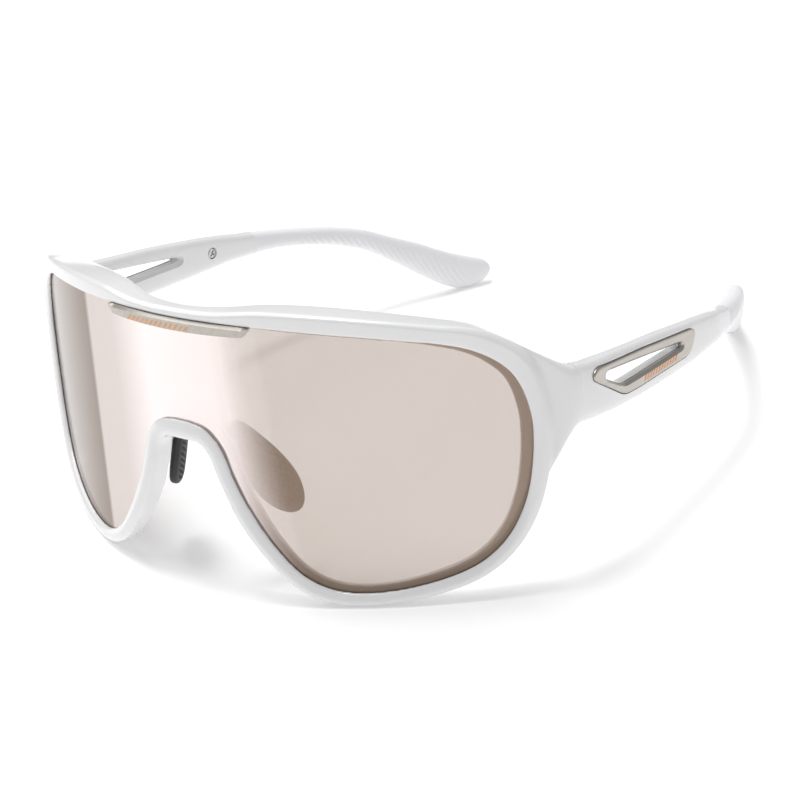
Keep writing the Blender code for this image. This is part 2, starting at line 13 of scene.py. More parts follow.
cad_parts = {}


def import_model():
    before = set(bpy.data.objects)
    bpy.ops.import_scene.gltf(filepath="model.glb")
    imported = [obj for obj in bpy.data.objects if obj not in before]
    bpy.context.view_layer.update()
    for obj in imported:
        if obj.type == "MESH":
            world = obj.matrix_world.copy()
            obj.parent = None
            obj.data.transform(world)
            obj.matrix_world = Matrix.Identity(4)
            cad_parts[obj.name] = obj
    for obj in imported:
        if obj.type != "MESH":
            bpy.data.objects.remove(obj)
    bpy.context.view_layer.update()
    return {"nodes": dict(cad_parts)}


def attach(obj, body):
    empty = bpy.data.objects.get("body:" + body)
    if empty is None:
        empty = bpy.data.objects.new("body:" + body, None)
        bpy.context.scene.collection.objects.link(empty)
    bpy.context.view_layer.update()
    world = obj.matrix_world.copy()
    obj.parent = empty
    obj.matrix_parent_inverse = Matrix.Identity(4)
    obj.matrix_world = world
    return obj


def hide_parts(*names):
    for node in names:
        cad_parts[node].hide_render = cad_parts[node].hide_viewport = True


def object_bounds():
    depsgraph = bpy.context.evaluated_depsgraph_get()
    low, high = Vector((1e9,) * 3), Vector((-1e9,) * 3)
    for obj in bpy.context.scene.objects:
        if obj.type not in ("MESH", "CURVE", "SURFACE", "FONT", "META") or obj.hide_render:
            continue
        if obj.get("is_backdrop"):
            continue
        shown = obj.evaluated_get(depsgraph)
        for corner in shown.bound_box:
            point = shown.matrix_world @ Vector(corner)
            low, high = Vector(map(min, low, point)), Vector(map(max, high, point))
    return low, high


MM = 0.001
SHIFT = Vector((0.0, -77.5, 0.0))  # puts the origin under the middle of the open pair

# The lens surface: sideways sag of a shield of 65 mm half width, leaning back as it rises.
HALF_WIDTH = 65.0
SAG_2, SAG_4 = 31.5, -3.0
LEAN = 0.108
MID_Z = 34.0
LENS_T = 1.6
LENS_GAP = 0.04

# Visible lens edge, right half, from the top centre round to the nose arch: x, z.
EDGE = [
    (0.0, 58.5), (10.0, 58.35), (20.0, 57.8), (30.0, 56.8), (40.0, 55.4), (50.0, 53.4),
    (57.0, 50.8), (62.2, 46.0), (64.7, 38.0), (64.9, 29.0), (63.6, 20.0), (60.5, 12.5),
    (55.5, 7.4), (48.0, 4.4), (39.5, 2.93), (31.5, 3.4), (25.0, 6.6), (19.5, 12.8),
    (15.2, 19.6), (12.0, 26.5), (9.8, 32.3), (6.0, 36.2), (0.0, 37.1),
]
# Rim section at the same stations: face width, crest, back depth and back width outside the lens,
# then depth and reach of the flange behind the lens.
RIM = [
    (2.0, 1.3, 3.0, 1.8, 3.0, 0.8), (2.2, 1.5, 3.6, 2.2, 3.0, 0.8), (3.4, 2.8, 5.4, 3.2, 3.4, 1.0),
    (3.8, 3.2, 6.0, 3.6, 3.6, 1.0), (3.8, 3.2, 6.0, 3.5, 3.8, 1.0), (3.8, 3.2, 5.6, 3.4, 4.0, 1.2),
    (4.6, 3.6, 4.8, 4.0, 4.2, 1.6), (4.6, 3.6, 3.6, 4.0, 4.4, 2.0), (3.8, 2.6, 3.0, 3.4, 4.4, 2.2),
    (3.6, 2.0, 3.8, 3.2, 4.4, 2.2), (3.2, 1.8, 4.6, 2.9, 4.2, 2.0), (3.0, 1.7, 4.4, 2.6, 3.8, 1.6),
    (2.9, 1.7, 4.0, 2.4, 3.4, 1.2), (2.8, 1.6, 3.8, 2.3, 3.2, 1.0), (2.8, 1.6, 3.6, 2.2, 3.0, 0.8),
    (3.0, 1.7, 3.6, 2.3, 3.0, 0.8), (3.2, 1.8, 3.8, 2.5, 3.0, 0.8), (3.4, 2.0, 4.0, 2.8, 3.2, 0.8),
    (3.6, 2.2, 4.2, 3.0, 3.4, 0.8), (3.6, 2.2, 4.2, 3.0, 3.4, 0.8), (3.6, 2.2, 4.2, 3.0, 3.2, 0.8),
    (3.8, 2.4, 4.2, 3.2, 3.2, 0.8), (4.2, 2.6, 4.2, 3.4, 3.2, 0.8),
]
STATIONS = 8                   # rim sections per control point
LIP = (0.9, 1.4)               # how far the rim's lip and its crest stand in front of the lens
LENS_TUCK, GROOVE = 0.9, 1.3   # lens edge and groove floor behind the lip

# End piece, from the rim's outer corner round to the upright face the temple butts on.
SEAM_Y, SEAM_GAP = 36.15, 0.012
SEAM_X = (66.4, 72.0)
SEAM_Z = (32.6, 45.4)
WEB_Z = (24.0, 51.0)
WEB_ROOT = (64.0, 33.1)
WEB_STEPS = 16
SQUARENESS = 3.4               # of the temple's section

# Temple: y, outer x, thickness, bottom z, top z.
TEMPLE = [
    (36.3, 72.0, 5.6, 32.6, 45.4), (41.0, 72.4, 5.2, 31.8, 44.2), (48.0, 72.5, 4.5, 30.6, 42.9),
    (56.0, 72.3, 4.2, 29.4, 41.3), (64.0, 72.1, 4.1, 28.4, 39.8), (72.0, 71.9, 4.1, 27.7, 38.1),
    (79.0, 71.7, 4.2, 27.1, 36.5), (85.0, 71.4, 4.4, 26.8, 35.1), (91.0, 70.9, 4.6, 26.5, 33.6),
    (95.0, 70.2, 4.7, 26.2, 32.5), (98.8, 69.5, 4.6, 25.8, 31.6),
]
# Ear tip: middle x, y, thickness, bottom z, top z.
EAR_TIP = [
    (67.2, 98.9, 4.6, 25.8, 31.5), (65.0, 106.0, 4.5, 25.0, 29.8), (61.6, 114.0, 4.4, 23.2, 27.7),
    (58.0, 121.0, 4.4, 20.8, 25.7), (54.2, 128.0, 4.5, 17.2, 22.9), (50.4, 134.5, 4.6, 11.8, 19.0),
    (46.6, 140.5, 4.7, 6.2, 15.4), (43.6, 145.0, 4.7, 2.3, 12.3), (41.2, 148.6, 4.6, 0.3, 10.0),
    (38.8, 152.0, 4.4, 0.05, 8.2), (36.8, 155.0, 3.6, 1.2, 6.6), (35.9, 156.4, 1.6, 2.9, 4.9),
]
RIB_FROM, RIB_TO = 108.0, 151.0   # y range of the grip ribs
RIB_PITCH, RIB_DEPTH, RIB_SWEEP = 2.3, 0.16, 7.0

# Trim ring in the temple side: y, z of its outline, and of its opening.
RING_OUT = [
    (39.8, 40.6), (40.0, 42.0), (41.5, 42.6), (58.5, 39.5), (78.3, 35.4), (80.1, 34.0),
    (78.1, 31.0), (75.8, 30.2), (56.5, 32.0), (51.5, 32.7), (49.5, 33.5),
]
RING_IN = [
    (44.4, 39.0), (44.2, 40.0), (45.2, 40.3), (58.5, 37.5), (73.4, 34.2), (74.5, 33.6),
    (74.1, 32.9), (72.4, 33.0), (55.5, 34.6), (51.0, 35.1), (48.4, 36.4),
]
RING_T, RING_PROUD = 1.0, 0.15
RING_LINE = 0.12               # shadow line between the ring and the temple

# Nose pad: upper and lower ends of its middle line, the way its width runs, and its size.
PAD_TOP, PAD_LOW = Vector((6.8, 7.2, 33.2)), Vector((14.8, 11.0, 18.4))
PAD_WIDE = Vector((0.50, 0.86, 0.06)).normalized()
PAD_T = 2.8
PAD_ROWS = [
    (-0.06, 0.7), (0.0, 2.0), (0.10, 2.8), (0.3, 3.6), (0.55, 4.3), (0.8, 4.5),
    (0.98, 4.1), (1.12, 3.2), (1.22, 2.0), (1.265, 0.8),
]
POST_ROOT = Vector((9.0, 3.0, 30.4))
POST_WIDE = Vector((0.84, 0.54, 0.0))  # the way the post's width runs
POST_AT = 0.15                 # share of the pad's length where the post joins
POST_INSET = 1.2               # how far from the pad's middle line it ends
MESH_PITCH, MESH_DEPTH = 1.25, 0.28

BADGE_HALF, BADGE_H, BADGE_T = 18.3, 2.7, 1.1
BADGE_DROP = 0.0017            # its top edge falls by this times x squared
BADGE_RISE = 0.0016            # and its height by this
SCREW_Y, SCREW_Z, SCREW_R, SCREW_HEAD_R = 84.8, 31.2, 0.75, 1.35

VOXEL = 0.25                   # size of the remesh that fuses the moulded pieces

# Camera: its azimuth from straight ahead, elevation, roll, place in metres and lens.
AZIMUTH, ELEVATION, ROLL = radians(39.74), radians(24.93), radians(7.70)
CAMERA_AT = Vector((0.2712, -0.33505, 0.20747))
FOCAL = 92.37


# ---------------------------------------------------------------- shapes

def loft(rings, kind="capped"):
    """Points and faces of a skin through equal rings: capped, or a loop closed on itself."""
    count, size = len(rings), len(rings[0])
    points = [p for ring in rings for p in ring]
    faces = []
    for i in range(count if kind == "loop" else count - 1):
        a, b = i * size, (i + 1) % count * size
        faces += [(a + j, a + (j + 1) % size, b + (j + 1) % size, b + j) for j in range(size)]
    if kind == "capped":
        faces += [tuple(range(size))[::-1], tuple((count - 1) * size + j for j in range(size))]
    return points, faces


def curve(points, steps, closed=False):
    """A smooth curve through points, steps pieces to each span."""
    found, count = [], len(points)
    for i in range(count if closed else count - 1):
        pick = [(i + k) % count if closed else min(max(i + k, 0), count - 1) for k in (-1, 0, 1, 2)]
        p0, p1, p2, p3 = (points[k] for k in pick)
        for s in range(steps):
            t = s / steps
            found.append(tuple(
                0.5 * (2 * b + (c - a) * t + (2 * a - 5 * b + 4 * c - d) * t * t
                       + (3 * b - a - 3 * c + d) * t**3)
                for a, b, c, d in zip(p0, p1, p2, p3)
            ))
    if not closed:
        found.append(tuple(points[-1]))
    return found


def rounded(half_w, half_h, bulge, count):
    """A soft rectangle about the origin."""
    ring = []
    for k in range(count):
        c, s = cos(2 * pi * (k + 0.5) / count), sin(2 * pi * (k + 0.5) / count)
        ring.append((half_w * abs(c) ** (2 / bulge) * (1 if c > 0 else -1),
                     half_h * abs(s) ** (2 / bulge) * (1 if s > 0 else -1)))
    return ring


def fillet(outline, radius, steps=5):
    """The outline with its corners rounded."""
    found, count = [], len(outline)
    for i in range(count):
        before, here, after = (Vector(outline[k % count]) for k in (i - 1, i, i + 1))
        start = here + (before - here).normalized() * min(radius, (before - here).length * 0.45)
        end = here + (after - here).normalized() * min(radius, (after - here).length * 0.45)
        for s in range(steps + 1):
            t = s / steps
            found.append(tuple(start * (1 - t) ** 2 + here * 2 * t * (1 - t) + end * t * t))
    return found


def grow(outline, by):
    """The outline moved outward by a distance."""
    count, found = len(outline), []
    area = sum(outline[i - 1][0] * outline[i][1] - outline[i][0] * outline[i - 1][1] for i in range(count))
    turn = 1 if area > 0 else -1
    for i in range(count):
        before, here, after = (Vector(outline[k % count]) for k in (i - 1, i, i + 1))
        first, second = (here - before).normalized(), (after - here).normalized()
        n1, n2 = Vector((first.y, -first.x)) * turn, Vector((second.y, -second.x)) * turn
        found.append(tuple(here + (n1 + n2) / max(1 + n1.dot(n2), 0.4) * by))
    return found


def slab(outline, x_low, x_high, spread=0.0):
    """A plate across X between two faces given as functions of y, its low face wider by spread."""
    low = grow(outline, spread) if spread else outline
    return loft([[(x_low(y), y, z) for y, z in low], [(x_high(y), y, z) for y, z in outline]])


def disc(centre, axis, levels, count=48):
    """A round bar along axis, through levels of distance and radius."""
    axis = Vector(axis).normalized()
    across = axis.orthogonal().normalized()
    other = axis.cross(across)
    turns = [2 * pi * k / count for k in range(count)]
    return [[Vector(centre) + axis * at + (across * cos(t) + other * sin(t)) * radius for t in turns]
            for at, radius in levels]


def bar(corner, sides):
    """Points and faces of a block from one corner and its three edges."""
    a, b, c = (Vector(side) for side in sides)
    base = Vector(corner)
    low = [base, base + a, base + a + b, base + b]
    return loft([low, [p + c for p in low]])


# ---------------------------------------------------------------- meshes

def shape(name, points, faces):
    """A closed mesh object in millimetres, faces out."""
    mesh = bpy.data.meshes.new(name)
    mesh.from_pydata([Vector(p) for p in points], [], faces)
    work = bmesh.new()
    work.from_mesh(mesh)
    bmesh.ops.remove_doubles(work, verts=work.verts, dist=1e-5)
    bmesh.ops.recalc_face_normals(work, faces=work.faces)
    if work.calc_volume(signed=True) < 0:
        bmesh.ops.reverse_faces(work, faces=work.faces)
    work.to_mesh(mesh)
    work.free()
    obj = bpy.data.objects.new(name, mesh)
    bpy.context.scene.collection.objects.link(obj)
    return obj


def settle(obj):
    """Turns the object's modifiers into its mesh."""
    graph = bpy.context.evaluated_depsgraph_get()
    mesh = bpy.data.meshes.new_from_object(obj.evaluated_get(graph))
    obj.modifiers.clear()
    obj.data = mesh
    return obj


def join(target, other):
    """Adds other's mesh to target's, and removes other."""
    work = bmesh.new()
    work.from_mesh(target.data)
    work.from_mesh(other.data)
    work.to_mesh(target.data)
    work.free()
    bpy.data.objects.remove(other, do_unlink=True)
    return target


def cut(target, points, faces):
    """Cuts a closed shape away from target."""
    tool = shape("tool", points, faces)
    step = target.modifiers.new("cut", "BOOLEAN")
    step.operation, step.solver, step.object = "DIFFERENCE", "EXACT", tool
    settle(target)
    bpy.data.objects.remove(tool, do_unlink=True)
    return target


def fuse(obj, voxel=VOXEL, passes=8):
    """Remeshes joined solids into one skin and softens its edges as a mould does."""
    step = obj.modifiers.new("fuse", "REMESH")
    step.mode, step.voxel_size = "VOXEL", voxel
    soften = obj.modifiers.new("soften", "SMOOTH")
    soften.factor, soften.iterations = 0.5, passes
    return settle(obj)


def soften_where(obj, chosen, passes):
    """Smooths the vertices that chosen(co) gives a weight, further than the rest."""
    group = obj.vertex_groups.new(name="soft")
    for vertex in obj.data.vertices:
        weight = chosen(vertex.co)
        if weight > 0:
            group.add([vertex.index], min(weight, 1.0), "REPLACE")
    step = obj.modifiers.new("soften", "SMOOTH")
    step.factor, step.iterations, step.vertex_group = 0.5, passes, "soft"
    settle(obj)
    obj.vertex_groups.clear()
    return obj


def trim_flat(obj, at, way, sides=(0,)):
    """Cuts obj once by a plane and caps each open loop, keeping what lies behind way.

    sides names the loops: 0 for a single one, or 1 and -1 for one on each side of the middle.
    """
    work = bmesh.new()
    work.from_mesh(obj.data)
    geom = [e for part in (work.verts, work.edges, work.faces) for e in part]
    found = bmesh.ops.bisect_plane(work, geom=geom, plane_co=at, plane_no=way, clear_outer=True)
    rim = [e for e in found["geom_cut"] if isinstance(e, bmesh.types.BMEdge)]
    for side in sides:
        bmesh.ops.contextual_create(work, geom=[e for e in rim if side == 0 or e.verts[0].co.x * side > 0])
    work.to_mesh(obj.data)
    work.free()
    return obj


def finish(obj, body, look, replaces=(), side=1, sharp=35):
    """Turns a shape in millimetres into a finished piece in metres that rides on a body."""
    mesh = obj.data
    mesh.transform(Matrix.Diagonal((side * MM, MM, MM, 1)) @ Matrix.Translation(SHIFT))
    if side < 0:
        mesh.flip_normals()
    mesh.shade_smooth()
    mesh.set_sharp_from_angle(angle=radians(sharp))
    mesh.materials.clear()
    mesh.materials.append(look)
    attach(obj, body)
    if replaces:
        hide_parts(*replaces)
    return obj


def mirrored(obj, name):
    """A copy of a shape in millimetres for the other side, still to be finished with side=-1."""
    other = bpy.data.objects.new(name, obj.data.copy())
    bpy.context.scene.collection.objects.link(other)
    return other


# ---------------------------------------------------------------- materials

def nodes_of(name):
    look = bpy.data.materials.new(name)
    look.use_nodes = True
    tree = look.node_tree
    return look, tree, tree.nodes["Principled BSDF"]


def noise(tree, scale, detail=3.0, stretch=(1, 1, 1)):
    """Procedural noise in object space, with stretch to draw it out along an axis."""
    place = tree.nodes.new("ShaderNodeTexCoord")
    mapping = tree.nodes.new("ShaderNodeMapping")
    mapping.inputs["Scale"].default_value = stretch
    made = tree.nodes.new("ShaderNodeTexNoise")
    made.inputs["Scale"].default_value = scale
    made.inputs["Detail"].default_value = detail
    tree.links.new(place.outputs["Object"], mapping.inputs["Vector"])
    tree.links.new(mapping.outputs["Vector"], made.inputs["Vector"])
    return made.outputs["Fac"]


def spread(tree, source, low, high):
    """Maps a 0..1 value to a range."""
    made = tree.nodes.new("ShaderNodeMapRange")
    made.inputs["To Min"].default_value, made.inputs["To Max"].default_value = low, high
    tree.links.new(source, made.inputs["Value"])
    return made.outputs["Result"]


def ramp(tree, source, stops):
    """A colour ramp over source."""
    made = tree.nodes.new("ShaderNodeValToRGB")
    band = made.color_ramp
    while len(band.elements) < len(stops):
        band.elements.new(0.5)
    for element, (at, color) in zip(band.elements, stops):
        element.position, element.color = at, color
    tree.links.new(source, made.inputs["Fac"])
    return made.outputs["Color"]


def bumped(tree, shader, height, strength, distance):
    made = tree.nodes.new("ShaderNodeBump")
    made.inputs["Strength"].default_value, made.inputs["Distance"].default_value = strength, distance
    tree.links.new(height, made.inputs["Height"])
    tree.links.new(made.outputs["Normal"], shader.inputs["Normal"])


def plastic(name, dark, light, rough, coat, grain, depth):
    """Moulded plastic or rubber: slight colour and gloss variation and a fine grain."""
    look, tree, shader = nodes_of(name)
    cloud = noise(tree, 60.0)
    tree.links.new(ramp(tree, cloud, [(0.3, dark), (0.7, light)]), shader.inputs["Base Color"])
    tree.links.new(spread(tree, cloud, *rough), shader.inputs["Roughness"])
    shader.inputs["Coat Weight"].default_value = coat
    shader.inputs["Coat Roughness"].default_value = 0.06
    shader.inputs["IOR"].default_value = 1.49
    bumped(tree, shader, noise(tree, grain), 0.25, depth)
    return look


def metal(name, dark, light, rough, stretch):
    """Satin metal with fine brush lines along one axis."""
    look, tree, shader = nodes_of(name)
    lines = noise(tree, 900.0, 4.0, stretch)
    tree.links.new(ramp(tree, lines, [(0.3, dark), (0.7, light)]), shader.inputs["Base Color"])
    shader.inputs["Metallic"].default_value = 1.0
    tree.links.new(spread(tree, lines, *rough), shader.inputs["Roughness"])
    bumped(tree, shader, lines, 0.2, 0.00002)
    return look


def mirror_lens_painted_light():
    """Mirror coated shield: see-through and taupe when faced, opaque at a slant; its colour by facing angle
    paints a pale rose highlight at a slant and a dark shade band at the grazing edge.
    """
    look, tree, shader = nodes_of("lens_mirror")
    slant = tree.nodes.new("ShaderNodeLayerWeight")
    slant.inputs["Blend"].default_value = 0.5
    facing = slant.outputs["Facing"]
    # Painted light: this ramp over facing angle paints a pale rose highlight where the lens is seen at a
    # slant and a painted dark shade band at the grazing edge; only the taupe is the coating's own tint.
    color = ramp(tree, facing, [
        (0.15, (0.39, 0.29, 0.222, 1)), (0.215, (0.90, 0.81, 0.79, 1)), (0.42, (0.94, 0.865, 0.855, 1)),
        (0.56, (0.67, 0.60, 0.575, 1)), (0.675, (0.63, 0.56, 0.525, 1)), (0.691, (0.25, 0.19, 0.155, 1)),
    ])
    tree.links.new(color, shader.inputs["Base Color"])
    alpha = ramp(tree, facing, [(0.16, (0.41, 0.41, 0.41, 1)), (0.24, (0.92, 0.92, 0.92, 1))])
    tree.links.new(alpha, shader.inputs["Alpha"])
    shader.inputs["Metallic"].default_value = 1.0
    cloud = noise(tree, 30.0)
    tree.links.new(spread(tree, cloud, 0.10, 0.14), shader.inputs["Roughness"])
    return look


# ---------------------------------------------------------------- front

def lens_y(x, z):
    q = (x / HALF_WIDTH) ** 2
    return SAG_2 * q + SAG_4 * q * q + LEAN * (z - MID_Z)


def lens_front(x):
    """The direction the lens faces at x."""
    slope = (2 * SAG_2 * x + 4 * SAG_4 * x**3 / HALF_WIDTH**2) / HALF_WIDTH**2
    return Vector((slope, -1.0, LEAN)).normalized()


def on_lens(x, z):
    return Vector((x, lens_y(x, z), z))


def rim_stations():
    """Places round the lens edge: the point, outward and forward directions, and the rim section."""
    half = [e + r for e, r in zip(EDGE, RIM)]
    loop = half + [(-p[0],) + tuple(p[1:]) for p in half[-2:0:-1]]
    spots = curve(loop, STATIONS, closed=True)
    found = []
    for i, spot in enumerate(spots):
        ahead, behind = spots[(i + 1) % len(spots)], spots[i - 1]
        along = (on_lens(ahead[0], ahead[1]) - on_lens(behind[0], behind[1])).normalized()
        front = lens_front(spot[0])
        found.append((on_lens(spot[0], spot[1]), front.cross(along).normalized(), front, spot[2:]))
    return found


def rim_section(here, out, front, size):
    wide, crest, depth, back, inner_depth, reach = size
    lip, top = LIP
    outside = curve([
        (0.0, LENS_GAP), (0.1, lip - 0.15), (0.35, lip), (crest - 0.5, top - 0.05), (crest, top),
        (wide - 0.15, 0.75), (wide, 0.1), (back + 0.05, 0.6 - depth), (back - 0.5, -depth),
        (back - 1.6, -depth),
    ], 3)
    inside = [
        (0.5 - reach, -inner_depth), (-reach, 0.4 - inner_depth), (-reach, -LENS_T - LENS_GAP),
        (GROOVE, -LENS_T - LENS_GAP), (GROOVE, LENS_GAP),
    ]
    return [here + out * n + front * f for n, f in outside + inside]


def end_piece():
    """The web from the rim's corner to the temple, run on past the seam."""
    spots = [spot for spot in rim_stations() if spot[0].x > 50 and WEB_Z[0] < spot[0].z < WEB_Z[1]]
    middle, half = sum(SEAM_X) / 2, (SEAM_X[1] - SEAM_X[0]) / 2
    outer, inner = [], []
    for i, (here, out, front, size) in enumerate(spots):
        share = i / (len(spots) - 1)
        z = SEAM_Z[1] + (SEAM_Z[0] - SEAM_Z[1]) * share
        thick = half * max(1 - abs(2 * share - 1) ** SQUARENESS, 0.002) ** (1 / SQUARENESS)
        start, end = here + out * (size[0] - 1.0), Vector((middle + thick, SEAM_Y, z))
        outer.append((start, start + out * 2.5, end - Vector((0.3, 3.0, -0.5)), end))
        start, end = Vector((*WEB_ROOT, z)), Vector((middle - thick, SEAM_Y, z))
        inner.append((start, start.lerp(end, 1 / 3), start.lerp(end, 2 / 3), end))
    rings = []
    for k in range(WEB_STEPS + 1):
        t = k / WEB_STEPS
        weights = ((1 - t) ** 3, 3 * t * (1 - t) ** 2, 3 * t * t * (1 - t), t**3)
        rings.append([sum((p * w for p, w in zip(four, weights)), Vector()) for four in outer + inner[::-1]])
    rings.append([p + Vector((0.1, 1.2, -0.25)) for p in rings[-1]])
    return shape("web", *loft(rings))


def pad_place():
    along = (PAD_LOW - PAD_TOP).normalized()
    wide = (PAD_WIDE - along * PAD_WIDE.dot(along)).normalized()
    return along, wide, along.cross(wide).normalized()


def post():
    """The moulded arm that carries a nose pad."""
    start = PAD_TOP.lerp(PAD_LOW, POST_AT) - pad_place()[1] * POST_INSET
    rings = []
    for share, w, h in ((0.0, 0.8, 1.4), (0.5, 0.8, 1.4), (1.0, 1.1, 1.8)):
        at = start.lerp(POST_ROOT, share)
        rings.append([at + POST_WIDE * a + Vector((0, 0, b)) for a, b in rounded(w, h, 3.0, 16)])
    return shape("post", *loft(rings))


def front_shell(look):
    shell = shape("frame_shell", *loft([rim_section(*station) for station in rim_stations()], "loop"))
    for piece in (end_piece(), post()):
        other = mirrored(piece, "other")
        other.data.transform(Matrix.Diagonal((-1, 1, 1, 1)))
        other.data.flip_normals()
        join(shell, piece)
        join(shell, other)
    fuse(shell)

    def corner(co):
        return min(1.0, (abs(co.x) - 63.0) / 3.0) * min(1.0, (co.y - 27.0) / 3.0) if 20 < co.z < 54 else 0

    soften_where(shell, corner, 30)
    trim_flat(shell, (0, SEAM_Y - SEAM_GAP / 2, 0), (0, 1, 0), (1, -1))
    return finish(shell, "front", look, ["front_frame"])


def shield(look):
    """The lens as a fine grid between its edges, with its real thickness."""
    right = [here + out * LENS_TUCK for here, out, _, _ in rim_stations()]
    right = right[: len(right) // 2 + 1]
    far = max(range(len(right)), key=lambda i: right[i].x)
    top, low = right[: far + 1], right[far:][::-1]

    def height(chain, x):
        for a, b in zip(chain, chain[1:]):
            if min(a.x, b.x) <= x <= max(a.x, b.x) and a.x != b.x:
                return a.z + (b.z - a.z) * (x - a.x) / (b.x - a.x)
        return chain[-1].z

    rows, xs = 24, [0.0]
    for x in sorted(p.x for p in right):
        if x - xs[-1] > 0.1:
            xs.append(x)
    xs[-1] = right[far].x
    xs = [-x for x in xs[:0:-1]] + xs
    front, back = [], []
    for x in xs:
        high, bottom = height(top, abs(x)), height(low, abs(x))
        for j in range(rows + 1):
            spot = on_lens(x, bottom + (high - bottom) * j / rows)
            front.append(spot)
            back.append(spot - lens_front(x) * LENS_T)
    size, n = rows + 1, len(front)
    points, faces = front + back, []
    for i in range(len(xs) - 1):
        for j in range(rows):
            a, b = i * size + j, (i + 1) * size + j
            faces += [(a, b, b + 1, a + 1), (n + a, n + a + 1, n + b + 1, n + b)]
    loop = [i * size for i in range(len(xs))] + [(len(xs) - 1) * size + j for j in range(1, size)]
    loop += [i * size + rows for i in range(len(xs) - 2, -1, -1)] + [j for j in range(rows - 1, 0, -1)]
    faces += [(a, n + a, n + b, b) for a, b in zip(loop, loop[1:] + loop[:1])]
    return finish(shape("lens_shield", points, faces), "front", look, ["shield_lens"])


def badge_top(x):
    return EDGE[0][1] - BADGE_DROP * x * x - 0.02


def badge(look, marks_look):
    """A slim plate with a bevelled front and slanted ends, tight under the brow lip, and its row of marks."""
    rings = []
    for k in range(-40, 41):
        u = k / 40
        x = BADGE_HALF * u
        squeeze = min(1.0, (1 - abs(u)) / 0.10 + 0.12)
        top_z = badge_top(x)
        low_z = top_z - (BADGE_H - BADGE_RISE * x * x) * squeeze
        front = lens_front(x)
        rings.append([
            on_lens(x, z) + front * f
            for z, f in ((low_z, 0.02), (low_z + 0.1, BADGE_T - 0.3), (low_z + 0.35 * squeeze, BADGE_T + 0.2),
                         (top_z - 0.6 * squeeze, BADGE_T + 0.2), (top_z, BADGE_T - 0.4), (top_z, 0.02))
        ])
    finish(shape("badge_plate", *loft(rings)), "front", look, ["brow_badge"], sharp=20)
    points, faces = [], []
    count, pitch, tall, lean = 13, 1.3, 1.0, 0.45
    for k in range(count):
        x = -11.0 + k * pitch
        mid = badge_top(x) - 1.65
        rings = [[on_lens(x + a * 0.32 + b * lean, mid + b * tall / 2) + lens_front(x) * (BADGE_T + f)
                  for a, b in ((-1, -1), (1, -1), (1, 1), (-1, 1))] for f in (0.1, 0.24)]
        more, skin = loft(rings)
        faces += [tuple(len(points) + i for i in face) for face in skin]
        points += more
    finish(shape("badge_marks", points, faces), "front", marks_look)


def nose_pad(side, word, look):
    """A soft pad: smooth border, diamond mesh in both broad faces."""
    along, wide, face = pad_place()
    length = (PAD_LOW - PAD_TOP).length
    rows, around = curve(PAD_ROWS, 14), 140
    rings = []
    for share, half in rows:
        at = PAD_TOP + along * length * share
        half = max(half, 0.3)
        thick = PAD_T / 2 * min(1.0, 0.45 + half / 5.0)
        ring = []
        for a, b in rounded(half, thick, 2.6, around):
            run = share * length
            flat = min(1.0, max(0.0, (half - 0.7 - abs(a)) / 0.3)) * min(1.0, max(0.0, (run - 1.0) / 0.5))
            flat *= min(1.0, max(0.0, (length * 1.13 - run) / 0.5)) * (abs(b) > thick * 0.5)
            p, q = (a + run * 0.6) / MESH_PITCH, (a - run * 0.6) / MESH_PITCH
            hole = min(abs(p - round(p)), abs(q - round(q)))
            sunk = MESH_DEPTH * flat * min(1.0, max(0.0, (hole - 0.14) / 0.08))
            ring.append(at + wide * a + face * (b - sunk * (1 if b > 0 else -1)))
        rings.append(ring)
    pad = shape("nose_pad_" + word + "_soft", *loft(rings))
    return finish(pad, "front", look, ["nose_pad_" + word], side, sharp=50)


# ---------------------------------------------------------------- temples

def temple_ring(y, outer, thick, low, high):
    flat = rounded(thick / 2, (high - low) / 2, SQUARENESS, 48)
    return [Vector((outer - thick / 2 + a, y, (low + high) / 2 + b)) for a, b in flat]


def ring_face(y):
    """Outer face of the temple where the trim ring sits."""
    return 72.55 - 0.022 * (y - 44.0)


def temple_shell():
    """One temple in millimetres, left side."""
    rows = curve(TEMPLE, 6)
    lead = [tuple(a + (a - b) * 1.5 for a, b in zip(rows[0], rows[1]))]
    rings = [temple_ring(*row) for row in lead + rows]
    tail = tuple(a + (a - b) * 1.5 for a, b in zip(rows[-1], rows[-2]))
    arm = fuse(shape("temple_shell", *loft(rings + [temple_ring(*tail)])), 0.28, 6)
    trim_flat(arm, (0, SEAM_Y + SEAM_GAP / 2, 0), (0, -1, 0))
    trim_flat(arm, (0, TEMPLE[-1][0], 0), (0, 1, 0))
    outline, opening = fillet(RING_OUT, 0.9), fillet(RING_IN, 0.9)
    cut(arm, *slab(grow(outline, RING_LINE), lambda y: ring_face(y) - RING_T - 0.05, lambda y: 75.0))
    cut(arm, *slab(opening, lambda y: 60.0, lambda y: 75.0))
    cut(arm, *slab(opening, lambda y: ring_face(y) - 4.9, lambda y: ring_face(y) - 3.0, 1.6))
    head = Vector((67.75, SCREW_Y, SCREW_Z))
    cut(arm, *loft(disc(head, (-1, 0, 0), ((0, SCREW_HEAD_R + 0.1), (6, SCREW_HEAD_R + 0.1)))))
    return arm


def trim_ring():
    """A bevelled metal ring, its face slightly proud of the temple."""
    def face(y):
        return ring_face(y) + RING_PROUD

    outline, opening = fillet(RING_OUT, 0.9), fillet(RING_IN, 0.9)
    rings = [
        [(face(y) - RING_T, y, z) for y, z in outline],
        [(face(y) - 0.3, y, z) for y, z in outline],
        [(face(y) - 0.08, y, z) for y, z in grow(outline, -0.16)],
        [(face(y), y, z) for y, z in grow(outline, -0.4)],
        [(face(y), y, z) for y, z in grow(opening, 0.6)],
        [(face(y) - 0.1, y, z) for y, z in grow(opening, 0.42)],
        [(face(y) - 0.55, y, z) for y, z in opening],
        [(face(y) - RING_T, y, z) for y, z in opening],
    ]
    return shape("trim_ring", *loft(rings, "loop"))


